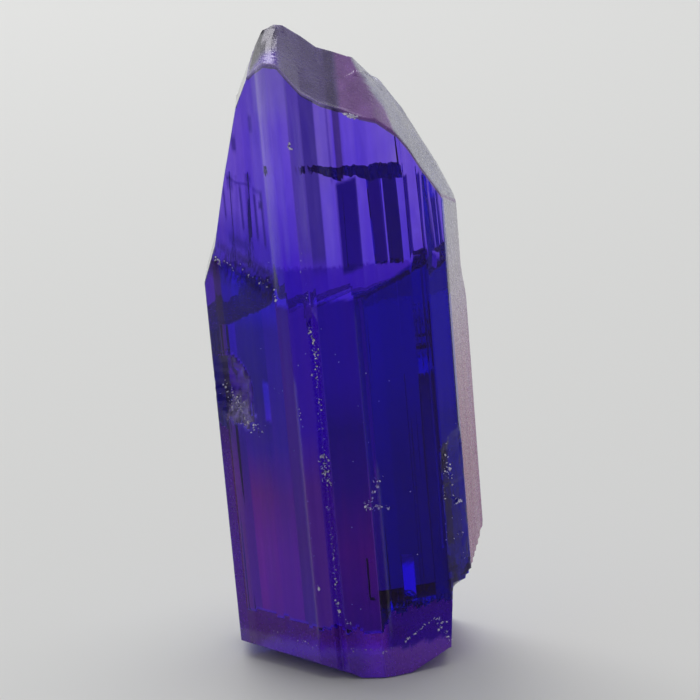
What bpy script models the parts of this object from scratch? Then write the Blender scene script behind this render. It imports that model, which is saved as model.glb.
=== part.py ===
"""Rough tanzanite: one loose crystal, a striated prism with a slanting, worn termination.

It stands on the flat of its broken base. +Z runs up the prism, -Y is its best side, and the origin
is the middle of its box at the level of the base. Lengths are in millimetres until a mesh is made.
"""

import math
import random

import bmesh
import bpy

MM = 0.001

# Driving dimensions of the whole crystal
WIDTH = 6.20
DEPTH = 5.06
HEIGHT = 15.40
HALF_WIDTH = WIDTH / 2
FRONT = -DEPTH / 2
BACK = DEPTH / 2
BEYOND = 4.5
ABOVE = HEIGHT + 1.5
BELOW = -1.5

# Corners of the prism seen from above, anticlockwise from the left edge: (x, y)
PRISM = (
    (-HALF_WIDTH, -0.25),
    (-2.69, -0.70),
    (-1.43, -1.88),
    (-1.15, -2.16),
    (-0.76, -2.30),
    (-0.62, -2.21),
    (-0.48, -2.40),
    (0.36, FRONT),
    (0.60, -2.49),
    (2.14, -2.02),
    (2.60, -1.64),
    (HALF_WIDTH, 0.35),
    (2.62, 0.62),
    (-0.50, BACK),
    (-1.62, 2.36),
    (-2.70, 1.70),
    (-HALF_WIDTH, 1.15),
)

# Striations: grooves along the prism on each face wide enough to hold them
GROOVE_PITCH = 0.27
GROOVE_WIDTH = 0.075
GROOVE_DEPTH = (0.006, 0.020)
PLAIN_FACE = 0.5
GROOVE_SEED = 11

# Top of the crystal from the front, where it slants down to the right: (x, z) at two depths
RIM_Y = -2.30
CREST_Y = 0.0
RIM = (
    (-3.50, 12.0),
    (-1.55, 14.50),
    (-1.19, 14.82),
    (-0.90, 14.80),
    (-0.71, 14.56),
    (-0.41, 14.19),
    (0.02, 13.92),
    (0.45, 13.76),
    (0.88, 13.53),
    (1.21, 13.41),
    (1.73, 12.91),
    (3.50, 11.10),
)
CREST = (
    (-3.50, 12.2),
    (-1.55, 14.62),
    (-1.19, 15.27),
    (-0.90, HEIGHT),
    (-0.71, 15.37),
    (-0.41, 15.15),
    (0.02, 14.85),
    (0.45, 14.73),
    (0.88, 14.63),
    (1.21, 14.29),
    (1.73, 13.62),
    (3.50, 11.98),
)

# Steep face that takes off the right of the top: (x, z) at the crest, lower towards the front
SIDE_FALL = (
    (0.80, 14.62),
    (1.44, 13.88),
    (1.90, 13.18),
    (2.62, 11.76),
    (3.06, 10.75),
    (3.60, 9.45),
)
SIDE_FALL_LEAN = 0.24

# Steep face up the left edge, above the shoulder: (x, z)
LEFT_FALL = (
    (-3.80, 7.70),
    (-3.08, 9.50),
    (-2.75, 10.39),
    (-2.40, 11.92),
    (-1.92, 13.77),
    (-1.21, 15.30),
    (-1.00, 16.00),
)
LEFT_FALL_LEAN = 0.0

# Shoulder on the left of the front, above which the face is broken back: heights at its two ends
SHOULDER_LEFT = 10.05
SHOULDER_RIGHT = 9.62
SHOULDER_SETBACK = 0.06
SHOULDER_DROP = 0.35

# Break up the back: a slanting floor that steps up near its right end, and a leaning wall
FLOOR_MIDDLE = 8.87
FLOOR_RISE = 0.33
FLOOR_FALL = 0.25
FLOOR_STEP_X = 1.42
FLOOR_STEP = 0.34
WALL_LEAN = 0.20

# Line that the wall leans up to, following the crest: (x, z)
WALL_TOP = (
    (-BEYOND, HEIGHT),
    (-0.90, HEIGHT),
    (-0.71, 15.37),
    (-0.41, 15.15),
    (0.02, 14.85),
    (0.45, 14.73),
    (0.88, 14.63),
    (1.21, 14.29),
    (1.73, 13.62),
    (3.50, 13.20),
)

# Shallow upright grooves of the wall, each (x from, x to)
BARS = (
    (0.57, 0.85),
    (0.93, 1.25),
    (1.44, 1.57),
    (1.78, 1.87),
)
BAR_DEPTH = 0.03
BAR_FLANK = 0.02

# Ledge across the wall's middle, above which it lies further forward: (x, step)
LEDGE = 11.90
LEDGE_STEPS = (
    (-0.34, -0.02),
    (-0.02, 0.10),
    (0.40, 0.17),
    (0.70, 0.26),
    (1.38, 0.28),
    (1.42, -0.02),
)

# Broken base: slanting facets round a flat, each (direction x, direction y, reach of the flat, slope)
BASE_FACETS = (
    (-0.71, -0.71, 1.85, 0.70),
    (-1.00, 0.10, 2.50, 0.62),
    (0.90, -0.44, 1.95, 0.62),
    (0.30, 0.95, 1.75, 0.40),
    (-0.60, 0.80, 2.35, 0.55),
)

# Long chip down the right front edge, full up to one height and fading out at another
CHIP_LINE = ((2.10, -2.03), (2.66, -1.44))
CHIP_FULL = 5.30
CHIP_TOP = 6.40
CHIP_FADE = 0.20

# What is broken off the right side below its flake: the side that is left, and the flake's underside
NOTCH_SIDE = 2.06
NOTCH_LEAN = 0.10
NOTCH_TURN = 0.05
NOTCH_ROOF = 1.95
NOTCH_BEND = 2.50
NOTCH_ROOF_RISE = 0.95

# Right edge worn back: by how much, and the heights between which the wear sets in
EDGE_WORN = 0.10
EDGE_WORN_FROM = 8.20
EDGE_WORN_FULL = 9.40

# Small turned facet low on the back: (x, y) at its deep end, at its shallow end, then its heights
WINDOW_DEEP = (0.48, 1.85)
WINDOW_SHALLOW = (0.80, 1.73)
WINDOW_HEIGHTS = (1.08, 2.03)

# Scooped chip on the left edge: (x, y, z) and radius
SCOOP = (-4.78, -2.69, 7.00)
SCOOP_RADIUS = 3.00

# Pits in a wandering line down the furrow beside the front ridge
PIT_TOP = 8.60
PIT_BOTTOM = 1.60
PIT_COUNT = 12
PIT_X = -0.62
PIT_Y = -2.27
PIT_WANDER = 0.05
PIT_SIZE = (0.06, 0.12)
PIT_SEED = 4

COLOUR = (0.11, 0.05, 0.55, 1.0)
ROUGHNESS = 0.08


def interpolated(points, x):
    """The height at x along a polyline of (x, height) points."""
    for (x0, z0), (x1, z1) in zip(points, points[1:]):
        if x <= x1:
            return z0 + (z1 - z0) * (x - x0) / (x1 - x0)
    return points[-1][1]


def grooved(start, end, draw):
    """Points from start to end along one face, dipping into shallow grooves."""
    length = math.dist(start, end)
    along = ((end[0] - start[0]) / length, (end[1] - start[1]) / length)
    inward = (-along[1], along[0])
    points = [start]
    if length < PLAIN_FACE:
        return points
    count = round(length / GROOVE_PITCH)
    for i in range(count):
        middle = (i + draw.uniform(0.3, 0.7)) * length / count
        half = GROOVE_WIDTH / 2 * draw.uniform(0.6, 1.4)
        depth = draw.uniform(*GROOVE_DEPTH)
        for reach, dip in ((middle - half, 0.0), (middle, depth), (middle + half, 0.0)):
            points.append(
                (
                    start[0] + along[0] * reach + inward[0] * dip,
                    start[1] + along[1] * reach + inward[1] * dip,
                )
            )
    return points


def striated_outline():
    """The prism's cross-section with its striations."""
    draw = random.Random(GROOVE_SEED)
    outline = []
    for start, end in zip(PRISM, PRISM[1:] + PRISM[:1]):
        outline += grooved(start, end, draw)
    return outline


def object_from(name, form):
    """An object in the scene from a bmesh in millimetres."""
    bmesh.ops.recalc_face_normals(form, faces=form.faces)
    bmesh.ops.scale(form, vec=(MM, MM, MM), verts=form.verts)
    mesh = bpy.data.meshes.new(name)
    form.to_mesh(mesh)
    form.free()
    made = bpy.data.objects.new(name, mesh)
    bpy.context.scene.collection.objects.link(made)
    return made


def loft(rings):
    """A closed bmesh through rings of (x, y, z) points, each ring with as many points as the last."""
    form = bmesh.new()
    levels = [[form.verts.new(point) for point in ring] for ring in rings]
    for lower, upper in zip(levels, levels[1:]):
        for i in range(len(lower)):
            j = (i + 1) % len(lower)
            form.faces.new((lower[i], lower[j], upper[j], upper[i]))
    form.faces.new(levels[0][::-1])
    form.faces.new(levels[-1])
    bmesh.ops.triangulate(form, faces=form.faces)
    return form


def cutter(name, form):
    """A helper that only cuts: hidden in renders and drawn as wire."""
    helper = object_from(name, form)
    helper.hide_render = True
    helper.display_type = "WIRE"
    return helper


def cut(crystal, helper):
    """Takes the helper's shape out of the crystal."""
    modifier = crystal.modifiers.new("cut_" + helper.name, "BOOLEAN")
    modifier.operation = "DIFFERENCE"
    modifier.solver = "EXACT"
    modifier.object = helper


def striated_prism():
    """The whole prism, from the floor to above the top, with the base's slanting facets taken off."""
    outline = striated_outline()
    form = loft([[(x, y, 0.0) for x, y in outline], [(x, y, ABOVE) for x, y in outline]])
    bmesh.ops.dissolve_limit(form, angle_limit=0.001, verts=form.verts, edges=form.edges)
    for way_x, way_y, reach, slope in BASE_FACETS:
        done = bmesh.ops.bisect_plane(
            form,
            geom=form.verts[:] + form.edges[:] + form.faces[:],
            dist=1e-5,
            plane_co=(way_x * reach, way_y * reach, 0.0),
            plane_no=(way_x * slope, way_y * slope, -1.0),
            clear_outer=True,
        )
        rim = [piece for piece in done["geom_cut"] if isinstance(piece, bmesh.types.BMEdge)]
        bmesh.ops.contextual_create(form, geom=rim)
    return object_from("tanzanite_crystal", form)


def slab_above(near, far, near_y, far_y):
    """A block above a ruled surface between (x, z) lines at two depths, carried on level past both."""
    middle_y = (near_y + far_y) / 2
    rings = []
    for depth in (-BEYOND, near_y, middle_y, far_y, BEYOND):
        share = min(max((depth - near_y) / (far_y - near_y), 0.0), 1.0)
        lower = [(x, depth, z + (w - z) * share) for (x, z), (_, w) in zip(near, far)]
        rings.append(lower + [(near[-1][0], depth, ABOVE + 1), (near[0][0], depth, ABOVE + 1)])
    return loft(rings)


def fall(line, lean):
    """A block above a steep line of (x, z) points that drops by lean for each millimetre to the front."""
    far = [(x, z) for x, z in line]
    near = [(x, z - lean * (CREST_Y - RIM_Y)) for x, z in line]
    return slab_above(near, far, RIM_Y, CREST_Y)


def break_floor(x, y):
    """Height of the slanting floor of the break up the back."""
    return FLOOR_MIDDLE + FLOOR_RISE * x - FLOOR_FALL * (y - 1.0)


def stepped_floor(x, y):
    """Height of the floor's right end, a step above the rest."""
    return break_floor(x, y) + FLOOR_STEP


def above(x, y):
    """A height clear of the top, everywhere the same."""
    return ABOVE


def wall_y(x, z):
    """Depth of the break's wall, which leans forward as it rises."""
    return CREST_Y + WALL_LEAN * (interpolated(WALL_TOP, x) - z)


def barred_line(left, right):
    """The wall's plan seen from above between two x, as (x, dip) points, dipping at each bar."""
    points = [(left, 0.0), (right, 0.0)]
    for x, _ in WALL_TOP:
        inside = any(start < x < end for start, end in BARS)
        points.append((x, BAR_DEPTH if inside else 0.0))
    for start, end in BARS:
        points.append((start, 0.0))
        points.append((start + BAR_FLANK, BAR_DEPTH))
        points.append((end - BAR_FLANK, BAR_DEPTH))
        points.append((end, 0.0))
    return sorted({point for point in points if left <= point[0] <= right})


def back_block(plan, low, high):
    """A block behind the wall from the height function low up to high."""
    rings = []
    for level in (low, high):
        ring = []
        for x, dip in plan:
            y = wall_y(x, level(x, 1.0)) - dip
            ring.append((x, y, level(x, y)))
        for x in (plan[-1][0], plan[0][0]):
            ring.append((x, BEYOND, level(x, BEYOND)))
        rings.append(ring)
    return loft(rings)


def off_the_line(line, shift):
    """The two ends of a plan line moved out of the crystal by shift."""
    (x0, y0), (x1, y1) = line
    length = math.dist(*line)
    out = ((y1 - y0) / length, (x0 - x1) / length)
    return [(x + out[0] * shift, y + out[1] * shift) for x, y in line]


def edge_chip():
    """What is broken off along the right front edge."""
    far = off_the_line(CHIP_LINE, 2.0)
    rings = []
    for z, shift in ((BELOW, 0.0), (CHIP_FULL, 0.0), (CHIP_TOP, CHIP_FADE)):
        near = off_the_line(CHIP_LINE, shift)
        rings.append([(x, y, z) for x, y in near + far[::-1]])
    return loft(rings)


def side_notch():
    """What is broken off below the flake on the right side."""
    roof = NOTCH_ROOF + NOTCH_ROOF_RISE * (BEYOND - NOTCH_BEND)
    rings = []
    for y in (-BEYOND, BEYOND):
        side = NOTCH_SIDE + NOTCH_TURN * y
        foot = side + NOTCH_LEAN * BELOW
        top = side + NOTCH_LEAN * NOTCH_ROOF
        outline = (
            (foot, BELOW),
            (BEYOND, BELOW),
            (BEYOND, roof),
            (NOTCH_BEND, NOTCH_ROOF),
            (top, NOTCH_ROOF),
        )
        rings.append([(x, y, z) for x, z in outline])
    return loft(rings)


def worn_edge():
    """What is worn off the right edge high up."""
    rings = []
    for z, worn in ((EDGE_WORN_FROM, 0.0), (EDGE_WORN_FULL, EDGE_WORN), (ABOVE, EDGE_WORN)):
        x = HALF_WIDTH - worn
        rings.append([(x, -BEYOND, z), (BEYOND, -BEYOND, z), (BEYOND, BEYOND, z), (x, BEYOND, z)])
    return loft(rings)


def back_window():
    """The wedge off the back that leaves its small turned facet."""
    plan = (WINDOW_DEEP, WINDOW_SHALLOW, (WINDOW_SHALLOW[0], BACK), (WINDOW_DEEP[0], BACK))
    return loft([[(x, y, z) for x, y in plan] for z in WINDOW_HEIGHTS])


def shoulder_break():
    """What is broken off the left of the front above the shoulder."""
    line = (PRISM[1], PRISM[2])
    (x0, y0), (x1, y1) = off_the_line(line, -SHOULDER_SETBACK)
    left = (2 * x0 - x1, 2 * y0 - y1)
    plan = (left, (x1, y1), *off_the_line((left, (x1, y1)), 1.5)[::-1])
    rise = SHOULDER_LEFT - SHOULDER_RIGHT
    outer = (SHOULDER_RIGHT - SHOULDER_DROP, SHOULDER_LEFT + rise - SHOULDER_DROP)
    low = (SHOULDER_LEFT + rise, SHOULDER_RIGHT, *outer)
    return loft([[(x, y, z) for (x, y), z in zip(plan, low)], [(x, y, ABOVE) for x, y in plan]])


def ridge_pits():
    """Small angular pits, none touching the next, down the furrow beside the front ridge."""
    draw = random.Random(PIT_SEED)
    form = bmesh.new()
    for i in range(PIT_COUNT):
        share = (i + draw.uniform(0.2, 0.8)) / PIT_COUNT
        made = bmesh.ops.create_icosphere(form, subdivisions=1, radius=draw.uniform(*PIT_SIZE))
        x = PIT_X + draw.uniform(-PIT_WANDER, PIT_WANDER)
        place = (x, PIT_Y, PIT_TOP + (PIT_BOTTOM - PIT_TOP) * share)
        bmesh.ops.translate(form, vec=place, verts=made["verts"])
    return form


def scoop():
    """A ball that takes a shell-shaped chip out of the left edge."""
    form = bmesh.new()
    bmesh.ops.create_icosphere(form, subdivisions=5, radius=SCOOP_RADIUS)
    bmesh.ops.translate(form, vec=SCOOP, verts=form.verts)
    return form


def gem_material():
    """Deep violet blue, smooth and clear."""
    material = bpy.data.materials.new("tanzanite")
    material.use_nodes = True
    shader = material.node_tree.nodes["Principled BSDF"]
    shader.inputs["Base Color"].default_value = COLOUR
    shader.inputs["Roughness"].default_value = ROUGHNESS
    shader.inputs["Transmission Weight"].default_value = 0.6
    shader.inputs["IOR"].default_value = 1.69
    return material


def build():
    """The crystal, cut from its prism."""
    for old in list(bpy.data.objects):
        bpy.data.objects.remove(old)
    crystal = striated_prism()
    crystal.data.materials.append(gem_material())
    cuts = {
        "top_break": slab_above(RIM, CREST, RIM_Y, CREST_Y),
        "side_fall": fall(SIDE_FALL, SIDE_FALL_LEAN),
        "left_fall": fall(LEFT_FALL, LEFT_FALL_LEAN),
        "wall_left": back_block(barred_line(-BEYOND, FLOOR_STEP_X), break_floor, above),
        "wall_right": back_block(barred_line(FLOOR_STEP_X, BEYOND), stepped_floor, above),
        "wall_above_ledge": back_block(LEDGE_STEPS, lambda x, y: LEDGE, above),
        "shoulder_break": shoulder_break(),
        "edge_chip": edge_chip(),
        "side_notch": side_notch(),
        "worn_edge": worn_edge(),
        "back_window": back_window(),
        "ridge_pits": ridge_pits(),
        "left_chip": scoop(),
    }
    for name, form in cuts.items():
        cut(crystal, cutter(name, form))


build()
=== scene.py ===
import math

import bmesh
import bpy
import numpy as np
from mathutils import Matrix, Vector


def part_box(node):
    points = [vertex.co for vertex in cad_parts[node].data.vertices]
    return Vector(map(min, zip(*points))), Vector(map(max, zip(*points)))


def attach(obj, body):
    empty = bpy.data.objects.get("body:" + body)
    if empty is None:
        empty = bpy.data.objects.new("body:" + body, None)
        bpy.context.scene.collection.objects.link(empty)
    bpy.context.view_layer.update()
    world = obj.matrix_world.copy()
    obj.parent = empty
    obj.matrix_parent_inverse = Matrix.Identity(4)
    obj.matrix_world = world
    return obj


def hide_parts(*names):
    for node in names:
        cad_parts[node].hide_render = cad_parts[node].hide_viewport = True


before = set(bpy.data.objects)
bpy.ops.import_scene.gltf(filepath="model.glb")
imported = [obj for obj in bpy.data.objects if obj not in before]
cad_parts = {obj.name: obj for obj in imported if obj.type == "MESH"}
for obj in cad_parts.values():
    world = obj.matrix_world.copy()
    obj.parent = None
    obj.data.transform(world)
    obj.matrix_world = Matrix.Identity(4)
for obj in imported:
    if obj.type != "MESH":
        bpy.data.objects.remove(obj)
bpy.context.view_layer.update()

# The frame's box in millimetres, which gives the crystal its reach on every side
MM = 0.001
LOW, HIGH = (np.array(corner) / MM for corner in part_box("tanzanite_crystal"))
LEFT, FRONT = LOW[:2]
RIGHT, BACK, APEX = HIGH

# Prism seen from above, anticlockwise from the left edge: (x, y) in millimetres
OUTLINE = np.array([
    (LEFT, -0.25), (-2.69, -0.70), (-1.43, -1.88), (-1.15, -2.16), (-0.76, -2.30), (-0.62, -2.21),
    (-0.48, -2.40), (0.36, FRONT), (0.60, -2.49), (2.14, -2.02), (2.60, -1.64), (RIGHT, 0.35),
    (2.62, 0.62), (-0.50, BACK), (-1.62, 2.36), (-2.70, 1.70), (LEFT, 1.15),
])
CHAMFER = 0.022
# The front's are the first corners of the outline, and each chamfer adds a side
FRONT_CORNERS = 12
FRONT_SIDES = 2 * FRONT_CORNERS - 2

# Fine waves along the faces, each (height, pitch, seed), and how far in the faces lie for them
FACE_WAVES = [(0.005, (0.6, 0.6, 4.0), 3), (0.002, (0.16, 0.16, 2.6), 4)]
WAVE_INSET = 0.006

# Striations: terraces along each side, of random widths and each tilted a little
TERRACE_WIDTH = 0.17
TERRACE_SPREAD = (0.5, 1.5)
FRONT_TERRACE = 0.003
BACK_TERRACE = 0.004
RISER = 0.050
STRIA_SEED = 7
# Pitches of the grid's columns: on the front, right of WALL_FROM, and elsewhere
FRONT_PITCH = 0.042
WALL_PITCH = 0.034
WALL_FROM = -0.45
SIDE_PITCH = 0.080
# Rows of the grid: the side, the break's floor, its wall below the ledge, the ledge, the wall above
# it, the top and the underside
BODY_ROWS = 95
FLOOR_ROWS = 7
RIB_ROWS = 40
LEDGE_ROWS = 6
UPPER_ROWS = 24
CAP_ROWS = 16
UNDER_ROWS = 7

# Top: front rim and crest, (x, z), joined by a ruled slope between two depths
RIM_Y = -2.30
CREST_Y = 0.0
RIM = np.array([
    (-1.55, 14.50), (-1.19, 14.82), (-0.90, 14.80), (-0.71, 14.56), (-0.41, 14.19), (0.02, 13.92),
    (0.45, 13.76), (0.88, 13.53), (1.21, 13.41), (1.73, 12.91), (3.50, 11.10),
])
CREST = np.array([
    (-1.55, 14.62), (-1.19, 15.27), (-0.90, APEX), (-0.71, 15.37), (-0.41, 15.15), (0.02, 14.85),
    (0.45, 14.73), (0.88, 14.63), (1.21, 14.29), (1.73, 13.62), (3.50, 11.98),
])
# Steep fall on the right, (x, z), which rises to the back, and the fall on the left
SIDE_FALL = np.array([
    (0.80, 14.62), (1.44, 13.88), (1.90, 13.18), (2.62, 11.76), (3.06, 10.75), (3.60, 9.45),
])
SIDE_FALL_LEAN = 0.24
LEFT_FALL = np.array([
    (-3.80, 7.70), (-3.08, 9.50), (-2.75, 10.39), (-2.40, 11.92), (-1.92, 13.77), (-1.21, 15.30),
    (-1.00, 16.00),
])
TOP_CENTRE = (0.55, -1.15)
# The rim is worn round: (drop below the top, share of the way in)
RIM_ROUND = np.array([
    (0.095, 0.000), (0.050, 0.004), (0.022, 0.012), (0.006, 0.027), (0.001, 0.045)
])
# The rim's height is searched from RIM_START, each round going RIM_PULL of the way to the top
RIM_START = 12.0
RIM_ROUNDS = 80
RIM_PULL = 0.3

# Break up the back: its wall leans forward as it rises to a line that follows the crest, (x, z),
# and its floor falls to the back
WALL_TOP = np.vstack([CREST[2:-1], (3.50, 13.20)])
# FLOOR_MIDDLE is the floor's height at x = 0 and y = FLOOR_Y
FLOOR_Y = 1.0
FLOOR_MIDDLE = 8.87
FLOOR_RISE = 0.33
FLOOR_FALL = 0.25
FLOOR_STEP = 0.05
FLOOR_NEAR = 0.90
FLOOR_FOOT_NEAR = FLOOR_NEAR - 0.2
# On the right the floor steps up: (x from, x to, rise)
FLOOR_STEP_UP = (1.32, 1.52, 0.34)
# Least drop from the rim to the floor's outer and inner end and to the ledge's foot and top
RIM_DROPS = (0.20, 0.15, 0.10, 0.05)
WALL_LEAN = 0.20
# Ledge across the wall: (x, its height, height it slants over, how far the wall steps forward)
LEDGE = np.array([
    (-4.00, 11.95, 0.18, 0.00), (-0.34, 11.95, 0.18, 0.00), (-0.02, 11.95, 0.18, 0.10),
    (0.40, 11.78, 0.32, 0.17), (0.70, 11.68, 0.42, 0.26), (1.38, 11.68, 0.42, 0.28),
    (1.42, 11.68, 0.42, 0.00), (4.00, 11.68, 0.42, 0.00),
])
# Jagged line of the ledge, each (height, pitch, seed)
LEDGE_JAG = [(0.05, 0.16, 31), (0.03, 0.06, 32)]
# Bars of the wall below the ledge: (x from, x to, share of red, green and blue kept). The shares are
# painted shade, the dark bars seen through the front. All but the clearest are shallow grooves. They
# end BAR_FOOT high, above a band of a deeper tint.
BARS = [
    (-1.66, -1.60, 0.45, 0.35, 0.65),
    (-1.46, -1.42, 0.45, 0.35, 0.65),
    (-1.16, -1.08, 0.50, 0.40, 0.65),
    (0.57, 0.85, 0.06, 0.01, 0.24),
    (0.93, 1.25, 0.02, 0.01, 0.16),
    (1.25, 1.44, 0.70, 0.65, 0.95),
    (1.44, 1.57, 0.09, 0.05, 0.31),
    (1.78, 1.87, 0.10, 0.07, 0.36),
]
BAR_DEPTH = 0.03
BAR_EDGE = 0.015
BAR_CLEAR = 0.9
BAR_FOOT = 9.62
BAR_FOOT_SOFT = 0.05
BELOW_BARS = np.array([0.46, 0.28, 0.70])
BELOW_BARS_BLUR = 0.02
BELOW_BARS_JAG = (0.04, (0.05, 0.05, 0.5), 63)

# Small window low on the back, a facet turned to let light through: (x from, x to, z from, z to,
# turn), and the softness of its upright and level edges
WINDOW = (0.48, 0.80, 1.08, 2.03, 0.24)
WINDOW_EDGES = (0.012, 0.04)

# Shoulder on the left of the front: its line (x, z), where it ends to the right (counted to the
# left) and to the back, and the heights over its line across which it sets back
SHOULDER = np.array([(-3.20, 10.20), (-2.69, 10.05), (-1.43, 9.55)])
SHOULDER_RIGHT = (1.30, 1.48)
SHOULDER_BACK = 0.2
SHOULDER_RISE = (-0.40, 0.30)
SHOULDER_SETBACK = 0.06
SHOULDER_JAG = (0.06, (0.25, 0.25, 9.0), 23)
# Rough band along it: heights across which it begins and ends, its depth, and its facets' skew,
# size and seed
RUBBLE_START = (-0.50, -0.05)
RUBBLE_END = (0.15, 0.75)
RUBBLE_DEPTH = 0.009
RUBBLE_SKEW = 0.4
RUBBLE_FACET = (0.26, 0.09)
RUBBLE_SEED = 8
# Crumbled shades on it: height from and to with their blur, right end (counted to the left), the
# facets' skew, size and seed, and the darkest shade with the range over it
CRUMBLE = (-0.40, 0.45, 0.20)
CRUMBLE_RIGHT = (1.36, 1.46)
CRUMBLE_SKEW = (0.4, 0.3)
CRUMBLE_FACET = (0.22, 0.06)
CRUMBLE_SEED = 9
CRUMBLE_SHADE = (0.30, 0.75)

# Furrow beside the front ridge: its middle, half width and depth, the heights over which it ends,
# and the depth in front of which it lies
FURROW = (-0.62, 0.14, 0.14)
FURROW_END = (8.80, 9.40)
FURROW_BEFORE = -1.5

# Chip on the left edge: a ball's middle and radius, the way in which points move onto it, and the
# ripples round its top (middle x and z, height, radians per millimetre)
LEFT_CHIP = np.array([-4.78, -2.69, 7.00])
LEFT_CHIP_RADIUS = 3.00
LEFT_CHIP_WAY = (0.78, 0.62)
RIPPLE_TOP = (-2.9, 7.9)
RIPPLE = 0.012
RIPPLE_RATE = 22
# Chip along the right front edge: the line that it leaves, (x, y), the heights between which it
# fades, how far, and its pits (depth, size, seed). Above EDGE_CHIP_TOP it has no limit.
EDGE_CHIP = np.array([(2.10, -2.03), (2.66, -1.44)])
EDGE_CHIP_FULL = 5.30
EDGE_CHIP_TOP = 6.40
EDGE_CHIP_FADE = 0.20
EDGE_PITS = (0.015, (0.16, 0.30), 12)
NO_LIMIT = 9
# The right edge is worn back higher up
EDGE_WORN = 0.10
EDGE_WORN_FROM = (8.2, 9.4)
# Right side broken off at the foot: what is left reaches x = side + lean * z + turn * y, below a
# roof that rises to the right
NOTCH_SIDE = 2.06
NOTCH_LEAN = 0.10
NOTCH_TURN = 0.05
NOTCH_ROOF = 1.95
NOTCH_ROOF_RISE = 0.95
NOTCH_ROOF_FROM = 2.5
NOTCH_JAG = (0.04, 0.4, 14)
NOTCH_SOFT = 0.09

# Broken base: slanting facets round the flat, each (direction x, direction y, reach, slope)
BASE_FACETS = np.array([
    (-0.71, -0.71, 1.85, 0.70), (-1.00, 0.10, 2.50, 0.62), (0.90, -0.44, 1.95, 0.62),
    (0.30, 0.95, 1.75, 0.40), (-0.60, 0.80, 2.35, 0.55),
])
BASE_JAG = (0.12, 0.6, 21)

# Absorption per millimetre of red, green and blue, the strongest being this share of the density
ABSORPTION = np.array([0.50, 0.68, 0.022])
STRONGEST = 0.98
# The crystal's index, its surface's level and tint, and the index of the dull film
INDEX = 1.69
SURFACE_LEVEL = 0.12
SURFACE_TINT = (0.30, 0.18, 0.50, 1)
FILM_INDEX = 1.8
# Noises on it, each (cells per millimetre, detail, share of that scale along x, y and z)
STREAK_NOISE = (9.0, 2.0, (1, 1, 0.05))
WEAR_NOISE = (12.0, 3.0)
PIT_NOISE = (16.0, 2.0, (1, 1, 0.8))
PIT_DEPTH = 0.02
PIT_STRENGTH = 0.8
PITS_FROM = 0.05
NOISE_RANGE = (0.3, 0.7)
WEAR_RANGE = (0.35, 0.65)
ROUGHEST = 0.6
LEAST_ROUGH = 0.4 * ROUGHEST
# Crushed grains, and the painted glint on the rim made of them: dark and light tint, with their
# places on the ramp, and their roughness
GRAIN_TINTS = [(0.35, (0.42, 0.36, 0.66, 1)), (0.62, (0.93, 0.91, 0.97, 1))]
GRAIN_MOTTLE = (9.0, 2.0)
GRAIN_ROUGH_NOISE = (20.0, 1.0)
GRAIN_ROUGHNESS = (0.25, 0.6)

# The front's dark line, (x, z): the clear upper part ends on it and the deep lower part begins
DARK_LINE = np.array([
    (-3.20, 10.15), (-2.69, 10.05), (-1.45, 9.62), (-1.40, 9.20), (-0.62, 9.22), (0.08, 9.35),
    (0.78, 9.48), (1.30, 9.70), (1.71, 9.95), (2.10, 10.28), (2.45, 9.95), (3.20, 9.80),
])
LINE_BLUR = 0.04
LINE_JAG = (0.05, (0.3, 0.3, 3.0), 61)
# Jagged ends of all the zones below
ZONE_JAG = (0.06, (0.22, 0.22, 0.6), 62)
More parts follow.
